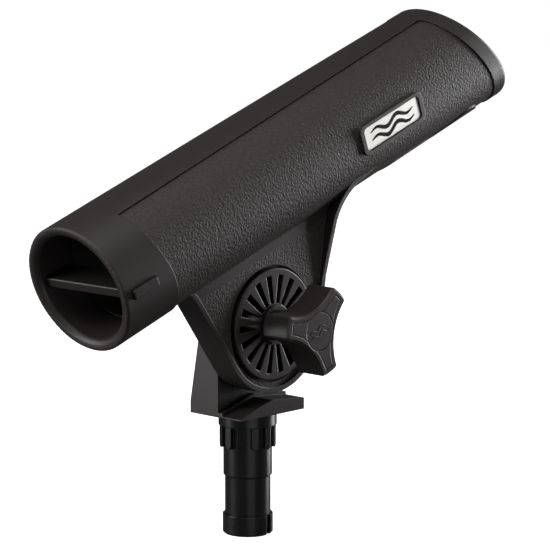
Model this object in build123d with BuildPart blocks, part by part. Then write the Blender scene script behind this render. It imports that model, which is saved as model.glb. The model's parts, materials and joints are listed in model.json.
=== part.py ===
"""Clamp-on rod holder for a boat: a barrel on a toothed tilt joint over a splined deck post.

Frame: the origin is on the post's axis at the underside of the bracket's base plate, +Z up.
+X is the way the barrel climbs, -Y is the side with the clamping knob. All sizes in millimetres.
"""

import os
from math import acos, atan2, cos, degrees, hypot, radians, sin, tan

from build123d import *

os.makedirs("parts", exist_ok=True)

# ---------------------------------------------------------------- driving dimensions
TILT = 20.0  # barrel above horizontal as stored, one step of the 18-tooth joint
HINGE_Z = 41.6  # tilt axis above the base plate's underside
AXIS_OFFSET = 58.9  # barrel axis above the tilt axis

# barrel
PANEL_R = 28.5  # grained side panel
SKIN_R = 29.2  # smooth cuff, top band and far lip, proud of the panel
BORE_R = 24.05
CUFF_BORE_R = 24.3  # relieved round the cross bar
MOUTH_ROUND = 3.0  # soft entry at the lower mouth
FLARE_R = 25.4  # bell mouth at the far end
MOUTH_U = -88.3
CUFF_BORE_END_U = -67.0
FLARE_START_U = 95.0
FAR_U = 172.3  # far end, measured on the barrel's axis
FAR_SLANT = 28.0  # degrees the far end leans back at the top
LIP_WIDTH = 10.5
BAND_V = 26.75  # height of the top band's edges above the axis, over the tilt axis
BAND_RISE = 0.008  # the band narrows towards the far end
SEAM_U = -59.6
SEAM_SLOPE = 0.24

# reel slot under the far end, inside a smooth raised border
BORDER_START_U, BORDER_TURN_U, BORDER_WIDE_U, BORDER_END_U = 94.0, 132.0, 152.0, 165.0
BORDER_NARROW, BORDER_WIDE = 25.0, 41.0
BORDER_WIDTH = 8.0

# saddle ear on the knob side
EAR_BACK_Y = -3.3
EAR_FACE_Y = -17.1
EAR_TOP_Y = -22.2  # the rim flares out to here where it meets the barrel, on the climbing side only
FLAT_RIM_LENGTH = 80.0  # towards the mouth the rim stays level with the boss
WEB_Y = -15.3
WEB_THICKNESS = 3.5
EAR_RIM = 2.4
EAR_TOP = 60.0  # the blank runs this far up, into the barrel's wall
RIB_THICKNESS = 2.4
RIB_PLACES = (-22.0, 4.0, 30.0)
BOSS_R = 31.1
BOSS_WALL = 4.2  # outside the joint's disc, at the back
KEYS, KEY_WIDTH, KEY_HEIGHT = 3, 3.2, 4.0  # stop the disc turning in the ear
RECESS_R = 26.5
RECESS_FLOOR_Y = -13.6

# toothed joint
TEETH = 18
DRUM_R = 24.3
DRUM_FLANGE_R = 25.3
DRUM_BORE_R = 6.1
TOOTH_SLOT_IN, TOOTH_SLOT_OUT = 9.5, 22.3
RING_R = 19.9
RING_SEAT_DEPTH = 1.6
TOOTH_HEIGHT = 1.4
TOOTH_IN, TOOTH_OUT = 11.0, 19.0
RING_BORE_R = 8.0
RING_SCREWS, RING_SCREW_PITCH_R, RING_SCREW_ANGLE = 3, 15.0, 10.0
RING_SCREW_HEAD_R, RING_SCREW_R, RING_SCREW_LENGTH = 1.5, 1.2, 3.6

# cross bar
BAR_U0, BAR_U1 = -84.0, -69.5
BAR_V0, BAR_V1 = -3.3, 0.9
BAR_HALF_LENGTH = 30.9

# name plate
PLATE_U = 91.2
PLATE_LENGTH, PLATE_HEIGHT = 39.6, 10.9
PLATE_THICKNESS = 0.7
FRAME_LENGTH, FRAME_HEIGHT = 44.8, 14.4
FRAME_Y = -29.7
PLATE_RECESS = 1.2

# bracket
PLATE_HALF_X, PLATE_HALF_Y = 20.74, 15.78
BLOCK_NEAR_Y = -1.6
BLOCK_FAR_Y = 15.9
BLOCK_TOP_FAR_Y = 5.6
LEDGE = 1.4
LEDGE_WIDTH = 2.8
HEAD_SEAT_Y = 4.5
HEAD_BOSS_R, HEAD_BOSS_Y = 11.0, 10.6

# bolt, 5/16 inch by 1-3/4 inch, and what runs on it
BOLT_R = 3.95
BOLT_LENGTH = 44.45
HEAD_FLATS, HEAD_HEIGHT = 12.7, 5.2
RUNNING_R = 4.0
BUSH_R = 6.0
WASHER_R, WASHER_BORE_R, WASHER_THICKNESS, WASHER_GAP = 8.75, 4.3, 1.5, 0.2

# deck post, 7/8 inch
COLLAR_R, COLLAR_H = 13.29, 5.9
SPLINES = 12
SPLINE_R, SPLINE_WIDTH, SPLINE_END_Z = 12.8, 3.4, -16.1
POST_R, POST_STEP_Z = 11.11, -29.0
LOWER_R, LOWER_END_Z = 10.385, -47.3
FOOT_R, FOOT_END_Z = 11.445, -56.4
NECK_R = 8.95
POST_BORE_R, POST_WEB = 6.5, 8.0
SPIGOT, SPIGOT_H = 14.0, 3.0
FOOT_GAP, FOOT_GAP_ANGLE = 3.2, 282.0
POST_SCREW_R, POST_SCREW_REACH = 2.5, 5.5
POST_HEAD_R, POST_HEAD_H, HEX_KEY, HEX_KEY_DEPTH = 4.6, 3.2, 4.0, 2.0
POST_WASHER_R, POST_WASHER_BORE_R, POST_WASHER_H = 6.2, 2.8, 1.2

# knob
KNOB_FACE_Y, KNOB_BACK_Y, STEM_END_Y = -44.6, -29.0, -19.0
STEM_R = 7.0
LOBE_ANGLES = (50.0, 170.0, 290.0)
LOBE_R, LOBE_HALF_ANGLE = 20.7, 15.1
WAIST_R = 10.2
GROOVE_INSET, GROOVE_WIDTH, GROOVE_DEPTH = 2.5, 0.4, 0.25
LOBE_CORNER, FACE_CHAMFER, BACK_CHAMFER = 1.4, 0.9, 0.7
STEM_BORE_R = 4.4
CAP_R, CAP_DEPTH, CAP_SUNK = 8.6, 2.0, 0.1
INSERT_R, INSERT_Y0, INSERT_Y1 = 5.6, -30.0, -41.5

CLEAR = 0.1  # gap all round between pieces that are assembled into each other

# ---------------------------------------------------------------- planes of the tilted barrel
RISE = Vector(cos(radians(TILT)), 0, sin(radians(TILT)))
UP = Vector(-sin(radians(TILT)), 0, cos(radians(TILT)))
HINGE = Vector(0, 0, HINGE_Z)
BARREL = HINGE + UP * AXIS_OFFSET
SLANT = tan(radians(FAR_SLANT))


def ear_side(y):
    """Seen from the knob side, x along the barrel and y away from it, origin on the tilt axis."""
    return Plane(origin=HINGE + Vector(0, y, 0), x_dir=RISE, z_dir=(0, -1, 0))


def barrel_side(y):
    """The same view with its origin on the barrel's axis."""
    return Plane(origin=BARREL + Vector(0, y, 0), x_dir=RISE, z_dir=(0, -1, 0))


def across(origin, u):
    """Square across the barrel at u, with x along +Y and y away from the tilt axis."""
    return Plane(origin=origin + RISE * u, x_dir=(0, 1, 0), z_dir=RISE)


def face_on(y):
    """Level view from the knob side, x along +X and y up, origin on the tilt axis."""
    return Plane(origin=HINGE + Vector(0, y, 0), x_dir=(1, 0, 0), z_dir=(0, -1, 0))


def seam_u(v):
    return SEAM_U - SEAM_SLOPE * v


def lip_u(v):
    return FAR_U - LIP_WIDTH - SLANT * v


def band_v(u):
    return BAND_V + BAND_RISE * u


def finish(part, name):
    part.label = name
    export_step(part, f"parts/{name}.step")


# ---------------------------------------------------------------- rod_tube
# The outline of the reel slot's border, seen square on from below the barrel.
with BuildSketch(Plane(origin=BARREL, x_dir=RISE, z_dir=-UP)) as slot_border:
    with BuildLine():
        Polyline(
            (BORDER_START_U, -BORDER_NARROW / 2),
            (BORDER_TURN_U, -BORDER_NARROW / 2),
            (BORDER_WIDE_U, -BORDER_WIDE / 2),
            (BORDER_END_U, -BORDER_WIDE / 2),
            (BORDER_END_U, BORDER_WIDE / 2),
            (BORDER_WIDE_U, BORDER_WIDE / 2),
            (BORDER_TURN_U, BORDER_NARROW / 2),
            (BORDER_START_U, BORDER_NARROW / 2),
            close=True,
        )
    make_face()
    fillet(slot_border.vertices(), radius=10)

# The window cut out of the smooth skin to make the sunk, grained side panels.
with BuildPart() as panel_window:
    with BuildSketch(barrel_side(0)) as window_outline:
        with BuildLine():
            Polyline(
                (seam_u(BAND_V), band_v(seam_u(BAND_V))),
                (lip_u(BAND_V), band_v(lip_u(BAND_V))),
                (lip_u(-2 * SKIN_R), -2 * SKIN_R),
                (seam_u(-2 * SKIN_R), -2 * SKIN_R),
                close=True,
            )
        make_face()
        fillet(window_outline.vertices().sort_by(Axis.Y)[-1], radius=4)
    extrude(amount=2 * SKIN_R, both=True)
    with BuildSketch(across(BARREL, -150)):
        Circle(PANEL_R)
    extrude(amount=400, mode=Mode.SUBTRACT)
    extrude(slot_border.sketch, amount=2 * SKIN_R, mode=Mode.SUBTRACT)


def boss_tangent(x, y, side):
    """Where a straight edge from the point (x, y) touches the round boss."""
    angle = atan2(y, x) + side * acos(BOSS_R / hypot(x, y))
    return BOSS_R * cos(angle), BOSS_R * sin(angle)


def ear_outline(shrink=0.0):
    """The saddle ear's outline: round boss below, tangent edges flaring into the barrel above."""
    with BuildSketch(mode=Mode.PRIVATE) as outline:
        with BuildLine():
            left_edge = Line(boss_tangent(-41, 31, 1), (-41, 31))
            left_flare = TangentArc(left_edge @ 1, (-51, 41.5), tangent=left_edge % 1)
            right_edge = Line(boss_tangent(49, 26.3, -1), (49, 26.3))
            right_flare = TangentArc(right_edge @ 1, (70, 39.4), tangent=right_edge % 1)
            ThreePointArc(left_edge @ 0, (0, -BOSS_R), right_edge @ 0)
            Polyline(left_flare @ 1, (-51, EAR_TOP), (84, EAR_TOP), (84, 41.2), right_flare @ 1)
        make_face()
        if shrink:
            offset(amount=-shrink, kind=Kind.INTERSECTION, mode=Mode.REPLACE)
    return outline.sketch


# The ear before it joins the barrel: planed to its flaring face, then cored from both sides.
with BuildPart() as ear_blank:
    with BuildSketch(ear_side(EAR_BACK_Y)):
        add(ear_outline())
    extrude(amount=EAR_BACK_Y - EAR_TOP_Y)
    with BuildSketch(across(HINGE, -80)):
        with BuildLine():
            Polyline(
                (EAR_FACE_Y, -50),
                (EAR_FACE_Y, 6),
                (EAR_TOP_Y, 38),
                (EAR_TOP_Y, EAR_TOP),
                (-40, EAR_TOP),
                (-40, -50),
                close=True,
            )
        make_face()
    extrude(amount=200, mode=Mode.SUBTRACT)
    with BuildSketch(ear_side(EAR_FACE_Y)):
        Rectangle(FLAT_RIM_LENGTH, EAR_TOP, align=(Align.MAX, Align.MIN))
    extrude(amount=20, mode=Mode.SUBTRACT)
    with BuildSketch(ear_side(WEB_Y)):
        add(ear_outline(EAR_RIM))
    extrude(amount=20, mode=Mode.SUBTRACT)
    with BuildSketch(ear_side(EAR_BACK_Y)):
        add(ear_outline(EAR_RIM + 0.6))
        Circle(DRUM_R + BOSS_WALL, mode=Mode.SUBTRACT)
        with Locations(*((x, 0) for x in RIB_PLACES)):
            Rectangle(RIB_THICKNESS, EAR_TOP, align=(Align.CENTER, Align.MIN), mode=Mode.SUBTRACT)
    extrude(amount=EAR_BACK_Y - (WEB_Y + WEB_THICKNESS), mode=Mode.SUBTRACT)

with BuildPart() as rod_tube:
    with BuildSketch(across(BARREL, MOUTH_U)):
        Circle(SKIN_R)
    extrude(amount=FAR_U - MOUTH_U + 2 * SKIN_R)
    split(bisect_by=Plane(origin=BARREL + RISE * FAR_U, z_dir=RISE + UP * SLANT), keep=Keep.BOTTOM)
    fillet(rod_tube.faces().sort_by(Axis(BARREL, RISE))[0].edges(), radius=1.1)
    fillet(rod_tube.faces().sort_by(Axis(BARREL, RISE))[-1].edges(), radius=1.6)
    add(panel_window.part, mode=Mode.SUBTRACT)
    add(ear_blank.part)
    with BuildSketch(barrel_side(-20)):
        with Locations((PLATE_U, 0)):
            RectangleRounded(FRAME_LENGTH, FRAME_HEIGHT, 3.2)
    extrude(amount=-20 - FRAME_Y)
    with BuildSketch(barrel_side(FRAME_Y + PLATE_RECESS)):
        with Locations((PLATE_U, 0)):
            RectangleRounded(PLATE_LENGTH + 2 * CLEAR, PLATE_HEIGHT + 2 * CLEAR, 2.2)
    extrude(amount=10, mode=Mode.SUBTRACT)
    with BuildSketch(barrel_side(0)):
        with BuildLine():
            entry = TangentArc(
                (MOUTH_U, CUFF_BORE_R + MOUTH_ROUND),
                (MOUTH_U + MOUTH_ROUND, CUFF_BORE_R),
                tangent=(0, -1),
            )
            Polyline(
                entry @ 1,
                (CUFF_BORE_END_U, CUFF_BORE_R),
                (CUFF_BORE_END_U, BORE_R),
                (FLARE_START_U, BORE_R),
                (FAR_U + 30, FLARE_R),
                (FAR_U + 30, 0),
                (MOUTH_U - 10, 0),
                (MOUTH_U - 10, CUFF_BORE_R + MOUTH_ROUND),
                entry @ 0,
            )
        make_face()
    revolve(axis=Axis(BARREL, RISE), mode=Mode.SUBTRACT)
    with BuildSketch(ear_side(RECESS_FLOOR_Y)):
        Circle(RECESS_R)
    extrude(amount=20, mode=Mode.SUBTRACT)
    with BuildSketch(ear_side(0)):
        Circle(DRUM_R + CLEAR)
        with PolarLocations(DRUM_R, KEYS, start_angle=90):
            Rectangle(KEY_WIDTH + 2 * CLEAR, KEY_HEIGHT + 2 * CLEAR)
    extrude(amount=20, mode=Mode.SUBTRACT)
    with BuildSketch(Plane(origin=BARREL, x_dir=RISE, z_dir=-UP)):
        add(slot_border.sketch_local)
        offset(amount=-BORDER_WIDTH, mode=Mode.REPLACE)
    extrude(amount=2 * SKIN_R, mode=Mode.SUBTRACT)
    with BuildSketch(barrel_side(2 * SKIN_R)):
        with Locations(((BAR_U0 + BAR_U1) / 2, (BAR_V0 + BAR_V1) / 2)):
            Rectangle(BAR_U1 - BAR_U0 + 2 * CLEAR, BAR_V1 - BAR_V0 + 2 * CLEAR)
    extrude(amount=4 * SKIN_R, mode=Mode.SUBTRACT)
finish(rod_tube.part, "rod_tube")

# ---------------------------------------------------------------- gimbal_bar
with BuildPart() as gimbal_bar:
    with BuildSketch(barrel_side(BAR_HALF_LENGTH)):
        with Locations(((BAR_U0 + BAR_U1) / 2, (BAR_V0 + BAR_V1) / 2)):
            RectangleRounded(BAR_U1 - BAR_U0, BAR_V1 - BAR_V0, 0.6)
    extrude(amount=2 * BAR_HALF_LENGTH)
    fillet(gimbal_bar.faces().sort_by(Axis.Y)[0].edges(), radius=0.5)
    fillet(gimbal_bar.faces().sort_by(Axis.Y)[-1].edges(), radius=0.5)
finish(gimbal_bar.part, "gimbal_bar")

# ---------------------------------------------------------------- name_plate
with BuildPart() as name_plate:
    with BuildSketch(barrel_side(FRAME_Y + PLATE_RECESS)):
        with Locations((PLATE_U, 0)):
            RectangleRounded(PLATE_LENGTH, PLATE_HEIGHT, 2.1)
    extrude(amount=PLATE_THICKNESS)
    fillet(name_plate.faces().sort_by(Axis.Y)[0].edges(), radius=0.3)
finish(name_plate.part, "name_plate")


# ---------------------------------------------------------------- ratchet_disc
def radial_teeth(r_in, r_out, half_in, half_out):
    """A ring of tapered radial slots or teeth, one every 20 degrees."""
    with PolarLocations(0, TEETH):
        Polygon((r_in, -half_in), (r_out, -half_out), (r_out, half_out), (r_in, half_in), align=None)


with BuildPart() as ratchet_disc:
    with BuildSketch(ear_side(EAR_BACK_Y)):
        Circle(DRUM_R)
        with PolarLocations(DRUM_R, KEYS, start_angle=90):
            Rectangle(KEY_WIDTH, KEY_HEIGHT)
    extrude(amount=EAR_BACK_Y - RECESS_FLOOR_Y)
    with BuildSketch(ear_side(RECESS_FLOOR_Y)):
        Circle(DRUM_FLANGE_R)
    extrude(amount=RECESS_FLOOR_Y - EAR_FACE_Y)
    fillet(ratchet_disc.faces().sort_by(Axis.Y)[0].edges(), radius=0.6)
    with BuildSketch(ear_side(0)):
        radial_teeth(TOOTH_SLOT_IN, TOOTH_SLOT_OUT, 1.05, 1.75)
        Circle(DRUM_BORE_R)
    extrude(amount=30, mode=Mode.SUBTRACT)
finish(ratchet_disc.part, "ratchet_disc")

# ---------------------------------------------------------------- pivot_bush
with BuildPart() as pivot_bush:
    with BuildSketch(ear_side(EAR_BACK_Y)):
        Circle(BUSH_R)
        Circle(RUNNING_R, mode=Mode.SUBTRACT)
    extrude(amount=EAR_BACK_Y - EAR_FACE_Y)
finish(pivot_bush.part, "pivot_bush")

# ---------------------------------------------------------------- tooth_ring
with BuildPart() as tooth_ring:
    with BuildSketch(ear_side(BLOCK_NEAR_Y + RING_SEAT_DEPTH)):
        Circle(RING_R)
        Circle(RING_BORE_R, mode=Mode.SUBTRACT)
    extrude(amount=RING_SEAT_DEPTH)
    with BuildSketch(ear_side(BLOCK_NEAR_Y)):
        radial_teeth(TOOTH_IN, TOOTH_OUT, 0.7, 1.1)
    extrude(amount=TOOTH_HEIGHT)
    with Locations(ear_side(BLOCK_NEAR_Y)):
        with PolarLocations(RING_SCREW_PITCH_R, RING_SCREWS, start_angle=RING_SCREW_ANGLE):
            Hole(RING_SCREW_HEAD_R + CLEAR)
finish(tooth_ring.part, "tooth_ring")

# ---------------------------------------------------------------- ring_screws
with BuildPart() as ring_screws:
    with Locations(ear_side(BLOCK_NEAR_Y + RING_SEAT_DEPTH)):
        with PolarLocations(RING_SCREW_PITCH_R, RING_SCREWS, start_angle=RING_SCREW_ANGLE):
            Cylinder(RING_SCREW_HEAD_R, RING_SEAT_DEPTH, align=(Align.CENTER, Align.CENTER, Align.MIN))
            Cylinder(RING_SCREW_R, RING_SCREW_LENGTH, align=(Align.CENTER, Align.CENTER, Align.MAX))
finish(ring_screws.part, "ring_screws")

# ---------------------------------------------------------------- swivel_bracket
PLATE_TOP = (
    (PLATE_HALF_X, 5.2),
    (11.5, 6.1),
    (-0.3, 7.0),
    (-6.8, 5.4),
    (-14.6, 2.9),
    (-PLATE_HALF_X, 0.6),
)


def plate_profile(raise_by=0.0):
    """Base plate seen from the knob side, with the ramp that lets the ear swing down."""
    points = [(x, z + raise_by - HINGE_Z) for x, z in PLATE_TOP]
    return Polyline((-PLATE_HALF_X, -HINGE_Z), (PLATE_HALF_X, -HINGE_Z), *points, close=True)


with BuildPart() as swivel_bracket:
    with BuildSketch(face_on(PLATE_HALF_Y)):
        with BuildLine():
            plate_profile()
        make_face()
    extrude(amount=2 * PLATE_HALF_Y)
    with BuildSketch(face_on(BLOCK_NEAR_Y)):
        with BuildLine():
            plate_profile(LEDGE)
        make_face()
    extrude(amount=LEDGE_WIDTH)
    with BuildSketch(face_on(BLOCK_FAR_Y)):
        Circle(PLATE_HALF_X)
        Rectangle(2 * PLATE_HALF_X, HINGE_Z, align=(Align.CENTER, Align.MAX))
    extrude(amount=BLOCK_FAR_Y - BLOCK_NEAR_Y)
    with BuildSketch(Plane.YZ.offset(-PLATE_HALF_X - 5)):
        with BuildLine():
            Polyline(
                (BLOCK_FAR_Y, 5.5),
                (BLOCK_TOP_FAR_Y, HINGE_Z + PLATE_HALF_X),
                (BLOCK_TOP_FAR_Y, 90),
                (40, 90),
                (40, 5.5),
                close=True,
            )
        make_face()
    extrude(amount=2 * PLATE_HALF_X + 10, mode=Mode.SUBTRACT)
    with BuildSketch(face_on(HEAD_BOSS_Y)):
        Circle(HEAD_BOSS_R)
    extrude(amount=HEAD_BOSS_Y - HEAD_SEAT_Y)
    with BuildSketch(face_on(HEAD_SEAT_Y)):
        RegularPolygon(HEAD_FLATS / 2 + CLEAR, 6, major_radius=False)
    extrude(amount=-20, mode=Mode.SUBTRACT)
    with BuildSketch(face_on(BLOCK_NEAR_Y + RING_SEAT_DEPTH)):
        Circle(RING_R + CLEAR)
    extrude(amount=RING_SEAT_DEPTH, mode=Mode.SUBTRACT)
    with BuildSketch(face_on(HEAD_SEAT_Y)):
        Circle(RUNNING_R)
    extrude(amount=20, mode=Mode.SUBTRACT)
    with Locations(ear_side(BLOCK_NEAR_Y + RING_SEAT_DEPTH)):
        with PolarLocations(RING_SCREW_PITCH_R, RING_SCREWS, start_angle=RING_SCREW_ANGLE):
            Cylinder(RING_SCREW_R + CLEAR / 2, 2 * RING_SCREW_LENGTH + 0.8, mode=Mode.SUBTRACT)
    with BuildSketch(Plane.XY):
        Rectangle(SPIGOT + 2 * CLEAR, SPIGOT + 2 * CLEAR)
    extrude(amount=SPIGOT_H + CLEAR, mode=Mode.SUBTRACT)
    with BuildSketch(Plane.XY):
        Circle(POST_SCREW_R + CLEAR / 2)
    extrude(amount=POST_SCREW_REACH + 0.5, mode=Mode.SUBTRACT)
finish(swivel_bracket.part, "swivel_bracket")

# ---------------------------------------------------------------- mount_post
with BuildPart() as mount_post:
    with BuildSketch(Plane.XZ):
        with BuildLine():
            Polyline(
                (0, 0),
                (COLLAR_R, 0),
                (COLLAR_R, -COLLAR_H),
                (POST_R, -COLLAR_H),
                (POST_R, POST_STEP_Z),
                (LOWER_R, POST_STEP_Z - 0.5),
                (LOWER_R, LOWER_END_Z),
                (NECK_R, LOWER_END_Z),
                (NECK_R, FOOT_END_Z),
                (POST_BORE_R, FOOT_END_Z),
                (POST_BORE_R, -POST_WEB),
                (0, -POST_WEB),
                close=True,
            )
        make_face()
    revolve(axis=Axis.Z)
    for k in range(SPLINES):
        out = Vector(1, 0, 0).rotate(Axis.Z, 360 / SPLINES * k)
        top = Vector(0, 0, -COLLAR_H)
        with BuildSketch(Plane(origin=top + out * (POST_R - 1), x_dir=Vector(0, 0, 1).cross(out), z_dir=out)):
            straight = -SPLINE_END_Z - COLLAR_H - SPLINE_WIDTH / 2
            Rectangle(SPLINE_WIDTH, straight, align=(Align.CENTER, Align.MAX))
            with Locations((0, -straight)):
                Circle(SPLINE_WIDTH / 2)
        extrude(amount=SPLINE_R - POST_R + 1)
    with BuildSketch(Plane.XY):
        Rectangle(SPIGOT, SPIGOT)
    extrude(amount=SPIGOT_H)
    with BuildSketch(Plane.XY.offset(SPIGOT_H)):
        Circle(POST_SCREW_R + CLEAR / 2)
    extrude(amount=-20, mode=Mode.SUBTRACT)
finish(mount_post.part, "mount_post")

# ---------------------------------------------------------------- foot_bush
with BuildPart() as foot_bush:
    with BuildSketch(Plane.XY.offset(FOOT_END_Z)):
        Circle(FOOT_R)
        Circle(NECK_R + CLEAR / 2, mode=Mode.SUBTRACT)
        with PolarLocations(FOOT_R, 1, start_angle=FOOT_GAP_ANGLE):
            Rectangle(8, FOOT_GAP, mode=Mode.SUBTRACT)
    extrude(amount=LOWER_END_Z - FOOT_END_Z)
    chamfer(foot_bush.edges().group_by(Axis.Z)[0].filter_by(GeomType.CIRCLE).sort_by(SortBy.RADIUS)[-1], 0.8)
finish(foot_bush.part, "foot_bush")

# ---------------------------------------------------------------- post_washer, post_screw
with BuildPart() as post_washer:
    with BuildSketch(Plane.XY.offset(-POST_WEB)):
        Circle(POST_WASHER_R)
        Circle(POST_WASHER_BORE_R, mode=Mode.SUBTRACT)
    extrude(amount=-POST_WASHER_H)
finish(post_washer.part, "post_washer")

with BuildPart() as post_screw:
    with BuildSketch(Plane.XY.offset(-POST_WEB - POST_WASHER_H)):
        Circle(POST_SCREW_R)
    extrude(amount=POST_WEB + POST_WASHER_H + POST_SCREW_REACH)
    with BuildSketch(Plane.XY.offset(-POST_WEB - POST_WASHER_H)):
        Circle(POST_HEAD_R)
    extrude(amount=-POST_HEAD_H)
    with BuildSketch(Plane.XY.offset(-POST_WEB - POST_WASHER_H - POST_HEAD_H)):
        RegularPolygon(HEX_KEY / 2, 6, major_radius=False)
    extrude(amount=HEX_KEY_DEPTH, mode=Mode.SUBTRACT)
finish(post_screw.part, "post_screw")

# ---------------------------------------------------------------- pivot_bolt
with BuildPart() as pivot_bolt:
    with BuildSketch(face_on(HEAD_SEAT_Y + HEAD_HEIGHT)):
        RegularPolygon(HEAD_FLATS / 2, 6, major_radius=False)
    extrude(amount=HEAD_HEIGHT)
    with BuildSketch(face_on(HEAD_SEAT_Y)):
        Circle(BOLT_R)
    extrude(amount=BOLT_LENGTH)
    chamfer(pivot_bolt.faces().sort_by(Axis.Y)[0].edges(), 0.8)
finish(pivot_bolt.part, "pivot_bolt")

# ---------------------------------------------------------------- knob_washer
with BuildPart() as knob_washer:
    with BuildSketch(face_on(EAR_FACE_Y - WASHER_GAP)):
        Circle(WASHER_R)
        Circle(WASHER_BORE_R, mode=Mode.SUBTRACT)
    extrude(amount=WASHER_THICKNESS)
finish(knob_washer.part, "knob_washer")

# ---------------------------------------------------------------- knob
def lobed_outline(inset=0.0):
    """Three rounded lobes with hollow waists between them, drawn this far inside the knob's edge."""
    tip_r, waist_r = LOBE_R - inset, WAIST_R - inset
    half_angle = LOBE_HALF_ANGLE - degrees(inset / LOBE_R)
    with BuildSketch(mode=Mode.PRIVATE) as outline:
        with BuildLine():
            for lobe in LOBE_ANGLES:
                tip_start = Vector(tip_r, 0).rotate(Axis.Z, lobe - half_angle)
                tip_end = Vector(tip_r, 0).rotate(Axis.Z, lobe + half_angle)
                tip_mid = Vector(tip_r, 0).rotate(Axis.Z, lobe)
                waist = Vector(waist_r, 0).rotate(Axis.Z, lobe + 60)
                next_tip = Vector(tip_r, 0).rotate(Axis.Z, lobe + 120 - half_angle)
                ThreePointArc(tip_start, tip_mid, tip_end)
                ThreePointArc(tip_end, waist, next_tip)
        make_face()
    return outline.sketch


with BuildPart() as knob:
    with BuildSketch(face_on(KNOB_BACK_Y)):
        add(lobed_outline())
    extrude(amount=KNOB_BACK_Y - KNOB_FACE_Y)
    fillet(knob.edges().filter_by(Axis.Y), radius=LOBE_CORNER)
    chamfer(knob.faces().sort_by(Axis.Y)[0].edges(), FACE_CHAMFER)
    chamfer(knob.faces().sort_by(Axis.Y)[-1].edges(), BACK_CHAMFER)
    with BuildSketch(face_on(KNOB_FACE_Y)):
        add(lobed_outline(GROOVE_INSET))
        add(lobed_outline(GROOVE_INSET + GROOVE_WIDTH), mode=Mode.SUBTRACT)
    extrude(amount=-GROOVE_DEPTH, mode=Mode.SUBTRACT)
    with BuildSketch(face_on(STEM_END_Y)):
        Circle(STEM_R)
    extrude(amount=STEM_END_Y - KNOB_BACK_Y + 1)
    with BuildSketch(face_on(KNOB_FACE_Y + CAP_DEPTH)):
        Circle(CAP_R + 1.5 * CLEAR)
    extrude(amount=10, mode=Mode.SUBTRACT)
    with BuildSketch(face_on(0)):
        Circle(STEM_BORE_R)
    extrude(amount=-INSERT_Y0, mode=Mode.SUBTRACT)
    with BuildSketch(face_on(INSERT_Y0)):
        Circle(INSERT_R)
    extrude(amount=INSERT_Y0 - KNOB_FACE_Y, mode=Mode.SUBTRACT)
finish(knob.part, "knob")

# ---------------------------------------------------------------- knob_insert
with BuildPart() as knob_insert:
    with BuildSketch(face_on(INSERT_Y0)):
        Circle(INSERT_R)
        Circle(RUNNING_R, mode=Mode.SUBTRACT)
    extrude(amount=INSERT_Y0 - INSERT_Y1)
finish(knob_insert.part, "knob_insert")

# ---------------------------------------------------------------- knob_cap
with BuildPart() as knob_cap:
    with BuildSketch(face_on(KNOB_FACE_Y + CAP_DEPTH)):
        Circle(CAP_R)
    extrude(amount=CAP_DEPTH - CAP_SUNK)
    fillet(knob_cap.faces().sort_by(Axis.Y)[0].edges(), radius=0.3)
finish(knob_cap.part, "knob_cap")
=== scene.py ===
# %% [markdown]
# # A boat's rod holder, finished in Blender
#
# The object is a black plastic barrel that holds a fishing rod. It tilts on a toothed joint, a
# three-lobed knob clamps it, and a splined post drops into a socket on the deck.
#
# Its solids come ready made and already assembled. This lesson gives them their finishes, adds the two
# raised marks that the solids leave out, and sets up the light, the floor and the camera.

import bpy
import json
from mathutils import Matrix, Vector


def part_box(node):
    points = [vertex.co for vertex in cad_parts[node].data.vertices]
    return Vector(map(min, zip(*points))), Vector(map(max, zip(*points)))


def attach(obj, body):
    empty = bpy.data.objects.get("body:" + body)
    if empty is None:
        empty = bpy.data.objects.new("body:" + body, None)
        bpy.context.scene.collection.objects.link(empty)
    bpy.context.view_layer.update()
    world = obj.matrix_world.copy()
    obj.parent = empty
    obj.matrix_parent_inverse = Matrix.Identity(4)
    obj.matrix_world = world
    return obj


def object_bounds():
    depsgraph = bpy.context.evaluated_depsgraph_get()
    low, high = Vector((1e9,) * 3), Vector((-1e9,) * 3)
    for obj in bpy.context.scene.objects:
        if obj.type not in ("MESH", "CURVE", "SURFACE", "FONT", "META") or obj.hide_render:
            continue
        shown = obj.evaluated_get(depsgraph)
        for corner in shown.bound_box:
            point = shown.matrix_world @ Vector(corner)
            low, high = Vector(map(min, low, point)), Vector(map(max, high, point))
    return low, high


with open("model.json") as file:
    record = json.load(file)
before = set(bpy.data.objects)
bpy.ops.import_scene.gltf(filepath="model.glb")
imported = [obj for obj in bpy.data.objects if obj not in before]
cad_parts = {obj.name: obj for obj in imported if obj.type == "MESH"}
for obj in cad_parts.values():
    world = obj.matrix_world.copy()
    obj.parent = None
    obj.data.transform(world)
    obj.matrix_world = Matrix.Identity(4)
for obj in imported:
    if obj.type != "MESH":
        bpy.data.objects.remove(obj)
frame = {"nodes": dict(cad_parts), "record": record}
solids_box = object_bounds()
print("solids:", [[round(v * 1000, 1) for v in corner] for corner in solids_box], "mm")

# %% [markdown]
# ## Units and colours
#
# Blender works in metres here, so sizes in millimetres are multiplied by `MM`. Shader colours are linear
# light, while a colour given here is written as an sRGB hex value. One function turns hex to linear.

# %% Units and colours
import json
from math import cos, pi, radians, sin, sqrt

import bpy
from mathutils import Vector

MM = 0.001


def paint(hex_value):
    """An sRGB hex colour such as "2a2929" as linear red, green, blue and alpha."""
    parts = [int(hex_value[i:i + 2], 16) / 255 for i in (0, 2, 4)]
    return tuple(p / 12.92 if p <= 0.04045 else ((p + 0.055) / 1.055) ** 2.4 for p in parts) + (1.0,)


print("black nylon in linear light:", [round(v, 4) for v in paint("2a2929")])

# %% [markdown]
# ## Where the barrel lies
#
# The grain on the barrel's sides stops at the smooth cuff, at the top band and at the far lip. On the real
# moulding those smooth parts stand a little proud, so the distance from the barrel's axis tells them apart.
# The record states the bore that the rod goes into, which gives the axis, and the two radii are read from
# the barrel's own vertices.

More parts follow.
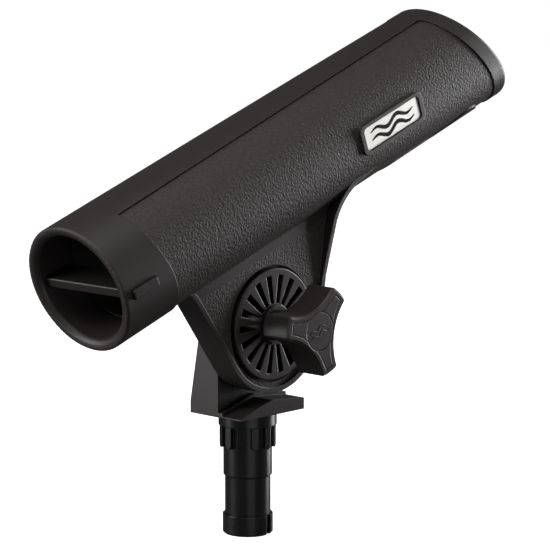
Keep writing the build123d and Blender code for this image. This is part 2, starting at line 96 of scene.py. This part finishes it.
# %% Where the barrel lies
mounts = {mount["name"]: mount for mount in frame["record"]["mounts"]}
bore = mounts["rod_bore"]
axis_point = Vector(bore["pos_m"])
rise = Vector(bore["axis"]).normalized()
up = Vector((-rise.z, 0, rise.x))
bore_r = bore["dims"]["r_mm"] * MM
bore_half = bore["dims"]["length_mm"] * MM / 2

WALL = 3.5 * MM  # anything further out than the bore by this much is on the barrel's outside
MIDDLE_SHARE = 0.6  # the middle of the barrel, well away from the cuff and the lip

outer_radii = []
for vertex in frame["nodes"]["rod_tube"].data.vertices:
    place = vertex.co - axis_point
    radius = sqrt(place.dot(up) ** 2 + place.y ** 2)
    in_the_middle = abs(place.dot(rise)) < MIDDLE_SHARE * bore_half
    if radius > bore_r + WALL and place.dot(up) > 0 and in_the_middle:
        outer_radii.append(radius)
panel_r, skin_r = min(outer_radii), max(outer_radii)
print(f"panel radius {panel_r / MM:.2f} mm, smooth skin radius {skin_r / MM:.2f} mm")

# %% [markdown]
# ## A helper for shader nodes
#
# A procedural finish is a small network: patterns feed numbers, numbers feed the shader. One function adds
# a node, sets its options and makes its links, so that each finish below reads as a recipe.

# %% A helper for shader nodes


def add_node(tree, kind, links=None, **settings):
    """Add a shader node. links names an input and gives it a value or another node's output."""
    made = tree.nodes.new("ShaderNode" + kind)
    for name, value in settings.items():
        setattr(made, name, value)
    for socket, value in (links or {}).items():
        if isinstance(value, bpy.types.NodeSocket):
            tree.links.new(value, made.inputs[socket])
        else:
            made.inputs[socket].default_value = value
    return made


def start_finish(name, **sockets):
    """A new material with a Principled shader whose plain numbers are set on its own sockets."""
    material = bpy.data.materials.new(name)
    material.use_nodes = True
    tree = material.node_tree
    tree.nodes.clear()
    shader = add_node(tree, "BsdfPrincipled", {key.replace("_", " "): v for key, v in sockets.items()})
    output = add_node(tree, "OutputMaterial")
    tree.links.new(shader.outputs["BSDF"], output.inputs["Surface"])
    return material, tree, shader


def give(material, *nodes):
    """Put a finish on whole solids, in every slot that they have."""
    for name in nodes:
        slots = frame["nodes"][name].data.materials
        for index in range(len(slots)):
            slots[index] = material
        if not slots:
            slots.append(material)
    print(material.name, "on", ", ".join(nodes))


# %% [markdown]
# ## Worn, softened edges
#
# No moulded or machined edge is perfectly sharp. Handling polishes it and rubs it paler, and it catches the
# light as a thin line. A bevel could be cut into each mesh, but these solids stay as they are, so the Bevel
# node rounds only the shading. Comparing its normal with the true one also says how near an edge is, and
# that mask drives the wear and a paler edge tone, which is partly rubbed wear and partly a painted
# highlight.

# %% Worn, softened edges


def soft_edge(tree, width):
    """The rounded normal for edges of this width, and a mask that is 1 on the edge and 0 away from it."""
    rounded = add_node(tree, "Bevel", {"Radius": width}, samples=6).outputs["Normal"]
    true = add_node(tree, "NewGeometry").outputs["Normal"]
    same = add_node(tree, "VectorMath", {0: rounded, 1: true}, operation="DOT_PRODUCT").outputs["Value"]
    mask = add_node(tree, "MapRange", {"Value": same, "From Min": 0.995, "From Max": 0.86})
    return rounded, mask.outputs["Result"]


# %% [markdown]
# ## Barrel coordinates for a pattern
#
# Patterns follow the object's own coordinates, so they ride with a piece when it moves. Three dot products
# turn them to the barrel's directions: along it, across it and away from its axis. They serve to find the
# grained skin here, and to lay the brush marks on the name plate later.

# %% Barrel coordinates for a pattern


def barrel_coordinates(tree):
    """Distance along the barrel, away from its axis plane and across it, each an output in metres."""
    place = add_node(tree, "TexCoord").outputs["Object"]
    from_axis = add_node(tree, "VectorMath", {0: place, 1: axis_point}, operation="SUBTRACT").outputs[0]
    return [
        add_node(tree, "VectorMath", {0: from_axis, 1: way}, operation="DOT_PRODUCT").outputs["Value"]
        for way in (rise, up, Vector((0, 1, 0)))
    ]


def between(tree, value, low, high, soft):
    """1 where value lies between low and high, falling to 0 over the distance soft outside each."""
    rising = add_node(tree, "MapRange", {"Value": value, "From Min": low - soft, "From Max": low})
    falling = add_node(tree, "MapRange", {"Value": value, "From Min": high + soft, "From Max": high})
    both = add_node(tree, "Math", {0: rising.outputs[0], 1: falling.outputs[0]}, operation="MULTIPLY")
    return both.outputs[0]


# %% [markdown]
# ## Black glass-filled nylon
#
# Barrel, bracket, knob and post are injection moulded in nylon 6 with short glass fibre, coloured through
# with carbon black. It has an IOR of about 1.53. A polished mould leaves a smooth satin skin, though the
# fibres make it very slightly mottled and give it a roughness near 0.4.
#
# The barrel's sides and the ear's web are different: the mould is etched there, so they come out with a
# pebbled leather grain that hides scratches. It could be real displacement, but pebbles 0.2 mm high never
# show on an outline, so a bump is enough and keeps the meshes light.
#
# Black plastic reads by its creases too: where two walls meet, and inside the bore, little light arrives.
# That shade is painted into the colour: the Ambient Occlusion node measures how open a place is, at a short
# reach and at a long one, and blackens the tone where it is shut in, as painted shade.

# %% Black glass-filled nylon
NYLON_IOR = 1.53
SOFT_EDGE = 0.5 * MM
FIBRE_MOTTLE = 9 * MM  # flow marks and fibre clouds under the skin
RUB_PATCH = 4 * MM  # a worn edge is worn in patches of about this size
MOULD_TEXTURE = 0.45 * MM  # really about 0.1 mm: drawn coarser so that it shows at all
SCUFF_LENGTH = 14 * MM
CREASE = 2.5 * MM  # how far from a wall's foot the painted shade reaches
HOLLOW = 40 * MM  # the same painted shade reach for the barrel's bore and the back of the ear
PEBBLE = 1.0 * MM  # width of one pebble of the etched grain
PEBBLE_HEIGHT = 0.2 * MM


def nylon(name, skin, cloud, rubbed_and_highlit, roughness, grain=None):
    """A nylon finish. skin and cloud are its two close tones, rubbed_and_highlit is the tone of an edge:
    worn paler, and lighter as a painted highlight.
    """
    material, tree, shader = start_finish(name, IOR=NYLON_IOR)
    place = add_node(tree, "TexCoord").outputs["Object"]
    normal, edge = soft_edge(tree, SOFT_EDGE)

    # Tone: slow clouds between two near blacks, then paler along the edges, partly as rubbed wear and partly
    # as a painted highlight.
    clouds = add_node(tree, "TexNoise", {"Vector": place, "Scale": 1 / FIBRE_MOTTLE, "Detail": 4.0})
    tone = add_node(tree, "MixRGB", {0: clouds.outputs["Fac"], 1: paint(skin), 2: paint(cloud)})
    patches = add_node(tree, "TexNoise", {"Vector": place, "Scale": 1 / RUB_PATCH, "Detail": 3.0})
    wear_and_highlight = add_node(tree, "Math", {0: edge, 1: patches.outputs["Fac"]}, operation="MULTIPLY").outputs[0]
    tone = add_node(tree, "MixRGB", {0: wear_and_highlight, 1: tone.outputs[0], 2: paint(rubbed_and_highlit)})
    colour = tone.outputs[0]

    # Painted shade: the tone is darkened to near black where two walls meet and inside hollows.
    for reach, black, clear in ((CREASE, 0.35, 0.8), (HOLLOW, 0.1, 0.55)):
        open_air = add_node(tree, "AmbientOcclusion", {"Distance": reach}, samples=8).outputs["AO"]
        shade = add_node(tree, "MapRange", {"Value": open_air, "From Min": black, "From Max": clear})
        colour = add_node(tree, "MixRGB", {0: shade.outputs[0], 1: paint("080707"), 2: colour}).outputs[0]

    # Gloss: mottled by the fibres, with long faint scuffs, and polished along the edges.
    stretched = add_node(tree, "Mapping", {"Vector": place, "Scale": (1.0, 0.16, 1.0)})
    scuffs = add_node(
        tree, "TexNoise", {"Vector": stretched.outputs[0], "Scale": 6 / SCUFF_LENGTH, "Detail": 6.0}
    )
    gloss = add_node(tree, "MapRange", {"Value": scuffs.outputs["Fac"], "To Min": roughness - 0.07,
                                        "To Max": roughness + 0.09})
    polish = add_node(tree, "Math", {0: wear_and_highlight, 1: 0.12}, operation="MULTIPLY").outputs[0]
    rough = add_node(tree, "Math", {0: gloss.outputs[0], 1: polish}, operation="SUBTRACT").outputs[0]

    # Relief: the mould's fine texture everywhere, with the etched pebbles where there is grain.
    fine = add_node(tree, "TexNoise", {"Vector": place, "Scale": 1 / MOULD_TEXTURE, "Detail": 2.0})
    relief = add_node(tree, "Bump", {"Height": fine.outputs["Fac"], "Strength": 0.25,
                                     "Distance": 0.012 * MM, "Normal": normal})
    if grain:
        mask = grain(tree)
        pebbles = pebble_height(tree, place)
        height = add_node(tree, "Math", {0: pebbles, 1: mask}, operation="MULTIPLY").outputs[0]
        relief = add_node(tree, "Bump", {"Height": height, "Strength": 0.8,
                                         "Distance": PEBBLE_HEIGHT, "Normal": relief.outputs[0]})
        matt = add_node(tree, "MapRange", {"Value": mask, "To Min": 0.0, "To Max": 0.1}).outputs[0]
        rough = add_node(tree, "Math", {0: rough, 1: matt}, operation="ADD").outputs[0]
        tops = add_node(tree, "MapRange", {"Value": height, "To Min": 0.0, "To Max": 0.45}).outputs[0]
        colour = add_node(tree, "MixRGB", {0: tops, 1: colour, 2: paint(rubbed_and_highlit)}).outputs[0]
    tree.links.new(colour, shader.inputs["Base Color"])
    tree.links.new(rough, shader.inputs["Roughness"])
    tree.links.new(relief.outputs[0], shader.inputs["Normal"])
    return material


def pebble_height(tree, place):
    """Rounded pebbles of uneven size, from 0 in the creases to 1 on their tops."""
    drift = add_node(tree, "TexNoise", {"Vector": place, "Scale": 0.6 / PEBBLE, "Detail": 2.0})
    offset = add_node(tree, "VectorMath", {0: drift.outputs["Color"], "Scale": 1.1 * PEBBLE},
                      operation="SCALE")
    bent = add_node(tree, "VectorMath", {0: place, 1: offset.outputs[0]}, operation="ADD")
    cells = add_node(tree, "TexVoronoi", {"Vector": bent.outputs[0], "Scale": 1 / PEBBLE},
                     feature="SMOOTH_F1")
    domes = add_node(tree, "MapRange", {"Value": cells.outputs["Distance"], "From Min": 0.75,
                                        "From Max": 0.1})
    return domes.outputs[0]


def grained_skin(tree):
    """1 on the etched skin: the sunk panels outside the barrel, and the web plate of the ear."""
    along, away, across = barrel_coordinates(tree)
    squares = [add_node(tree, "Math", {0: v, 1: v}, operation="MULTIPLY").outputs[0] for v in (away, across)]
    total = add_node(tree, "Math", {0: squares[0], 1: squares[1]}, operation="ADD").outputs[0]
    radius = add_node(tree, "Math", {0: total}, operation="SQRT").outputs[0]
    sunk = between(tree, radius, panel_r - 1.2 * MM, (panel_r + skin_r) / 2, 0.1 * MM)
    web = between(tree, across, web_y - 0.3 * MM, web_y + 0.3 * MM, 0.1 * MM)
    below = add_node(tree, "Math", {0: away, 1: -panel_r}, operation="LESS_THAN").outputs[0]
    plate = add_node(tree, "Math", {0: web, 1: below}, operation="MULTIPLY").outputs[0]
    return add_node(tree, "Math", {0: sunk, 1: plate}, operation="MAXIMUM").outputs[0]


# The web plate is sunk behind the face of the ear's rim, which the slotted disc is flush with.
WEB_SUNK = 1.8 * MM
web_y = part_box("ratchet_disc")[0].y + WEB_SUNK
print(f"the web plate's face is at y = {web_y / MM:.1f} mm")
grained_nylon = nylon("nylon_moulded_leather_grain", "2a2423", "312a29", "4b4341", 0.46, grained_skin)
smooth_nylon = nylon("nylon_moulded_smooth", "2a2423", "312a29", "4d4644", 0.40)
post_nylon = nylon("nylon_moulded_polished", "110f0f", "151313", "322f2e", 0.32)
give(grained_nylon, "rod_tube")
give(smooth_nylon, "swivel_bracket", "ratchet_disc", "gimbal_bar", "knob", "knob_cap", "knob_washer")
give(post_nylon, "mount_post", "foot_bush")

# %% [markdown]
# ## Metals
#
# The name plate is thin aluminium, lightly brushed along its length and clear anodised, so it stays bright
# but never mirrors. The bolt, the screws, the post's washer and the tooth ring are turned or stamped
# stainless steel, and the knob's insert is turned brass. A metal takes its whole look from its base colour
# and its roughness, and the tool marks run one way, so one noise is stretched along the marks for all three.

# %% Metals


def brushed_metal(name, bright, dull, roughness, mark_length, mark_width, directions):
    """A metal with fine parallel tool marks. directions gives the coordinates along and across them."""
    material, tree, shader = start_finish(name, Metallic=1.0)
    normal, edge = soft_edge(tree, 0.3 * MM)
    along, across, third = directions(tree)
    drawn = [
        add_node(tree, "Math", {0: value, 1: 1 / size}, operation="MULTIPLY").outputs[0]
        for value, size in ((along, mark_length), (across, mark_width), (third, mark_width))
    ]
    vector = add_node(tree, "CombineXYZ", {"X": drawn[0], "Y": drawn[1], "Z": drawn[2]})
    marks = add_node(tree, "TexNoise", {"Vector": vector.outputs[0], "Scale": 1.0, "Detail": 5.0})
    tone = add_node(tree, "MixRGB", {0: marks.outputs["Fac"], 1: paint(dull), 2: paint(bright)})
    # Edges paler: partly rubbed wear and partly a painted highlight.
    rubbed_and_highlit = add_node(tree, "MixRGB", {0: edge, 1: tone.outputs[0], 2: paint(bright)})
    rough = add_node(tree, "MapRange", {"Value": marks.outputs["Fac"], "To Min": roughness - 0.05,
                                        "To Max": roughness + 0.1})
    relief = add_node(tree, "Bump", {"Height": marks.outputs["Fac"], "Strength": 0.3,
                                     "Distance": 0.01 * MM, "Normal": normal})
    tree.links.new(rubbed_and_highlit.outputs[0], shader.inputs["Base Color"])
    tree.links.new(rough.outputs[0], shader.inputs["Roughness"])
    tree.links.new(relief.outputs[0], shader.inputs["Normal"])
    return material


def turned_coordinates(tree):
    """Plain object coordinates, for pieces turned about the bolt, which lies along Y."""
    place = add_node(tree, "TexCoord").outputs["Object"]
    parts = add_node(tree, "SeparateXYZ", {0: place}).outputs
    return parts["X"], parts["Y"], parts["Z"]


anodised = brushed_metal("aluminium_brushed_anodised", "f6f4f2", "dedbd8", 0.42, 6 * MM, 0.12 * MM,
                         barrel_coordinates)
stainless = brushed_metal("stainless_steel_turned", "c9c7c2", "a9a7a2", 0.3, 3 * MM, 0.15 * MM,
                          turned_coordinates)
brass = brushed_metal("brass_turned", "d9b36a", "b08a45", 0.33, 3 * MM, 0.15 * MM, turned_coordinates)
give(anodised, "name_plate")
give(stainless, "tooth_ring", "ring_screws", "pivot_bolt", "post_washer", "post_screw")
give(brass, "knob_insert")

# %% [markdown]
# ## Acetal bearing sleeve
#
# The sleeve inside the slotted disc is natural acetal, a waxy off-white plastic that runs on steel without
# grease. Some light goes into it, so a little subsurface scattering takes the hardness out of its shade.

# %% Acetal bearing sleeve


def acetal_sleeve():
    """Natural acetal, turned: ivory, waxy, with faint lathe rings."""
    material, tree, shader = start_finish("acetal_turned", IOR=1.48, Subsurface_Weight=0.12,
                                          Subsurface_Scale=0.6 * MM)
    place = add_node(tree, "TexCoord").outputs["Object"]
    normal, edge = soft_edge(tree, 0.3 * MM)
    clouds = add_node(tree, "TexNoise", {"Vector": place, "Scale": 1 / (5 * MM), "Detail": 3.0})
    tone = add_node(tree, "MixRGB", {0: clouds.outputs["Fac"], 1: paint("ddd8c9"), 2: paint("e8e4d8")})
    rough = add_node(tree, "MapRange", {"Value": clouds.outputs["Fac"], "To Min": 0.3, "To Max": 0.42})
    rings = add_node(tree, "TexWave", {"Vector": place, "Scale": 1 / (1.2 * MM), "Distortion": 0.4},
                     bands_direction="Y")
    relief = add_node(tree, "Bump", {"Height": rings.outputs["Fac"], "Strength": 0.15,
                                     "Distance": 0.02 * MM, "Normal": normal})
    tree.links.new(tone.outputs[0], shader.inputs["Base Color"])
    tree.links.new(rough.outputs[0], shader.inputs["Roughness"])
    tree.links.new(relief.outputs[0], shader.inputs["Normal"])
    return material


give(acetal_sleeve(), "pivot_bush")

# %% [markdown]
# ## The raised marks
#
# Such a plate carries its maker's script in black, and the knob's cap repeats it in relief. Nobody's name
# belongs on this model, so both get a plain wave, drawn like a stroke of a broad brush: swelling in the
# middle and fine at its ends.
#
# A curve with a bevel could draw it, but its section would be round. A stroke of paint or a moulded mark is
# flat-topped with sloping sides, so the ribbon is built point by point from its centre line.

# %% The raised marks


def brush_stroke(name, centre, along, above, outward, length, swing, width, height, waves, body, finish):
    """A flat-topped ribbon that swings about a straight line, lying on a face that looks outward."""
    steps = 96
    points, faces = [], []
    for step in range(steps + 1):
        t = step / steps
        x = (t - 0.5) * length
        swell = sin(pi * t) ** 0.6
        y = swing * sin(2 * pi * waves * t) * (0.45 + 0.55 * swell)
        slope = 2 * pi * waves * swing / length * cos(2 * pi * waves * t)
        sideways = Vector((-slope, 1.0)).normalized()
        half = width / 2 * (0.12 + 0.88 * swell)
        for share, lift in ((-1.0, -0.3), (-0.72, 1.0), (0.72, 1.0), (1.0, -0.3)):
            flat = Vector((x, y)) + sideways * half * share
            points.append(centre + along * flat.x + above * flat.y + outward * height * lift)
    for step in range(steps):
        a, b = 4 * step, 4 * step + 4
        for k in range(4):
            n = (k + 1) % 4
            faces.append((a + k, b + k, b + n, a + n))
    faces.append((0, 1, 2, 3))
    faces.append(tuple(4 * steps + k for k in (3, 2, 1, 0)))
    mesh = bpy.data.meshes.new(name)
    mesh.from_pydata(points, [], faces)
    mesh.validate()
    mesh.materials.append(finish)
    piece = bpy.data.objects.new(name, mesh)
    bpy.context.scene.collection.objects.link(piece)
    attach(piece, body)
    print(name, len(mesh.polygons), "faces")
    return piece


def middle_of_face(node):
    """The centre of the side of a solid that looks towards -Y."""
    low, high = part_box(node)
    return Vector(((low.x + high.x) / 2, low.y, (low.z + high.z) / 2))


toward_knob_side = Vector((0, -1, 0))
enamel = nylon("enamel_black_printed", "0c0b0b", "121111", "1e1d1d", 0.22)
plate_middle = middle_of_face("name_plate")
for number, offset in enumerate((1.9, -1.9)):
    brush_stroke(f"plate_wave_{number + 1}", plate_middle + up * offset * MM, rise, up, toward_knob_side,
                 31 * MM, 1.5 * MM, 2.3 * MM, 0.12 * MM, 2.0, "barrel", enamel)
cap_middle = middle_of_face("knob_cap")
for number, offset in enumerate((1.3, -1.3)):
    brush_stroke(f"cap_wave_{number + 1}", cap_middle + up * offset * MM, rise, up, toward_knob_side,
                 12.5 * MM, 0.8 * MM, 1.1 * MM, 0.16 * MM, 2.0, "clamp_knob", smooth_nylon)

# %% [markdown]
# ## Floor and surroundings
#
# The holder stands in a plain white studio. Its black plastic shows only what it reflects, so if the bright
# floor reflected in it, it would turn grey. The floor is therefore a lit white sheet that the camera sees,
# and that reflections and bounced light leave out, as when a photographer flags the table off. The world is
# dim, and the softboxes do the drawing.

# %% Floor and surroundings
floor_z = solids_box[0].z
world = bpy.data.worlds.new("studio_air")
world.use_nodes = True
world.node_tree.nodes["Background"].inputs["Color"].default_value = paint("ffffff")
world.node_tree.nodes["Background"].inputs["Strength"].default_value = 0.075
bpy.context.scene.world = world

FLOOR_HALF = 30.0  # metres, so that its edge never comes into view
floor_mesh = bpy.data.meshes.new("studio_floor")
floor_mesh.from_pydata(
    [(x * FLOOR_HALF, y * FLOOR_HALF, floor_z) for x, y in ((-1, -1), (1, -1), (1, 1), (-1, 1))],
    [], [(0, 1, 2, 3)],
)
floor = bpy.data.objects.new("studio_floor", floor_mesh)
bpy.context.scene.collection.objects.link(floor)
sheet, sheet_tree, sheet_shader = start_finish("paper_white_lit", Roughness=0.9, Emission_Strength=0.95,
                                               Emission_Color=paint("ffffff"))
mottle = add_node(sheet_tree, "TexNoise", {"Scale": 3.0, "Detail": 2.0})
pale = add_node(sheet_tree, "MixRGB", {0: mottle.outputs["Fac"], 1: paint("f0f0f0"), 2: paint("f4f4f4")})
sheet_tree.links.new(pale.outputs[0], sheet_shader.inputs["Base Color"])
floor_mesh.materials.append(sheet)
floor.visible_diffuse = False
floor.visible_glossy = False

# %% [markdown]
# ## Softboxes
#
# A large softbox overhead lifts the barrel's upper side and the cuff. A tall one at the left, behind the
# mouth, draws its rim and the bracket's edge. A tall one at the right draws the far lip and the post's edge,
# and gives the name plate its sheen. A weak low one in front opens the shadows a little. Each is aimed at
# the joint, so only its place has to be chosen.

# %% Softboxes
aim = Vector((0.0015, -0.0157, 0.0636))  # beside the joint, a little above the knob


def softbox(name, place, size, watts):
    """A rectangular area light at place, facing the joint."""
    light = bpy.data.lights.new(name, "AREA")
    light.shape = "RECTANGLE"
    light.size, light.size_y = size
    light.energy = watts
    lamp = bpy.data.objects.new(name, light)
    lamp.location = place
    lamp.rotation_mode = "QUATERNION"
    lamp.rotation_quaternion = (aim - Vector(place)).to_track_quat("-Z", "Y")
    bpy.context.scene.collection.objects.link(lamp)


for name, place, size, watts in (
    ("softbox_overhead", (-0.35, -0.25, 1.1), (1.3, 0.9), 8),
    ("softbox_left", (-0.9, 0.65, 0.35), (0.5, 1.0), 9),
    ("softbox_right", (1.1, -0.3, 0.2), (0.4, 0.9), 13),
    ("softbox_low", (-0.6, -1.1, 0.0), (0.8, 0.4), 2),
):
    softbox(name, place, size, watts)
    print(name, watts, "W")

# %% [markdown]
# ## Camera
#
# The camera stands 1.15 m from the joint, at the left of the knob side and a little above it, looking down
# by eight degrees. A long lens keeps the barrel from tapering.

# %% Camera
CAMERA_DISTANCE = 1.15
HEADING = radians(43.428)  # from +X towards +Y
LOOKING_DOWN = radians(8.425)
LENS_MM, SENSOR_MM = 168.53, 36.0

forward = Vector((
    cos(HEADING) * cos(LOOKING_DOWN), sin(HEADING) * cos(LOOKING_DOWN), -sin(LOOKING_DOWN),
))
camera_data = bpy.data.cameras.new("product_camera")
camera_data.lens, camera_data.sensor_width = LENS_MM, SENSOR_MM
camera_data.clip_start, camera_data.clip_end = 0.05, 100.0
camera = bpy.data.objects.new("product_camera", camera_data)
camera.location = aim - forward * CAMERA_DISTANCE
camera.rotation_mode = "QUATERNION"
camera.rotation_quaternion = forward.to_track_quat("-Z", "Y")
bpy.context.scene.collection.objects.link(camera)
bpy.context.scene.camera = camera
bpy.context.scene.view_settings.view_transform = "Standard"
print("camera at", [round(v, 3) for v in camera.location])
